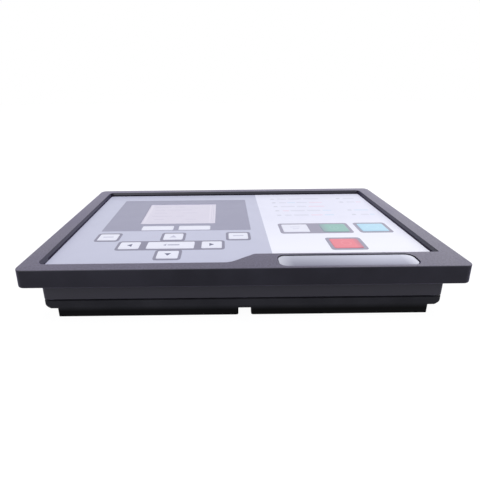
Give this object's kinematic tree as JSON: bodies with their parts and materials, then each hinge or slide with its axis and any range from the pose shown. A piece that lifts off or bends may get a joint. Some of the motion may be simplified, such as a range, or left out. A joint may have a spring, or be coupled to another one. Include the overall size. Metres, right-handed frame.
{
  "type": "generator control display",
  "caption": "Operator panel of a generating set: raised black rim, recessed membrane keypad with display window and coloured run keys, bare badge plate, rear cover with feet.",
  "frame": {"origin": "centre of the rim's outline, on the surface that the rear feet stand on", "axes": "+X along the panel's width to the run keys' side, +Y towards the panel's top edge, +Z out of the display's face"},
  "size_m": [0.28, 0.17, 0.04],
  "materials": {
    "bezel_plastic": "fine moulded texture",
    "cover_plastic": "fine moulded texture",
    "overlay_film": "velvet polyester film, printed on the back",
    "badge_aluminium": "brushed, clear anodised",
    "spacer_film": "plain",
    "dome_steel": "bright",
    "circuit_film": "silver ink on clear polyester",
    "led_plastic": "clear resin",
    "lens_clear": "anti-glare hard-coated sheet over the lit display",
    "foam_rubber": "closed-cell foam",
    "frame_steel": "tinned",
    "display_glass": "polariser over glass",
    "backlight_plastic": "diffuser",
    "circuit_board": "solder mask",
    "screw_steel": "bright zinc",
    "connector_black": "moulded",
    "connector_green": "moulded",
    "connector_ivory": "moulded",
    "contact_brass": "bright",
    "chip_plastic": "moulded",
    "capacitor_can": "sleeved can",
    "inductor_core": "ferrite",
    "insert_brass": "turned"
  },
  "bodies": {
    "root": {"front_bezel": "bezel_plastic", "graphic_overlay": "overlay_film", "badge_plate": "badge_aluminium", "keypad_spacer": "spacer_film", "snap_domes": "dome_steel", "keypad_circuit": "circuit_film", "indicator_leds": "led_plastic", "display_lens": "lens_clear", "dust_ring": "foam_rubber", "display_frame": "frame_steel", "display_glass": "display_glass", "backlight": "backlight_plastic", "display_board": "circuit_board", "display_screws": "screw_steel", "display_header": "connector_black", "main_board": "circuit_board", "board_screws": "screw_steel", "board_chips": "chip_plastic", "board_capacitors": "capacitor_can", "power_inductor": "inductor_core", "tail_socket": "connector_ivory", "power_header": "connector_black", "power_contacts": "contact_brass", "signal_header": "connector_green", "signal_contacts": "contact_brass", "rear_cover": "cover_plastic", "cover_screws": "screw_steel", "panel_gasket": "foam_rubber", "panel_inserts": "insert_brass"}
  },
  "joints": []
}
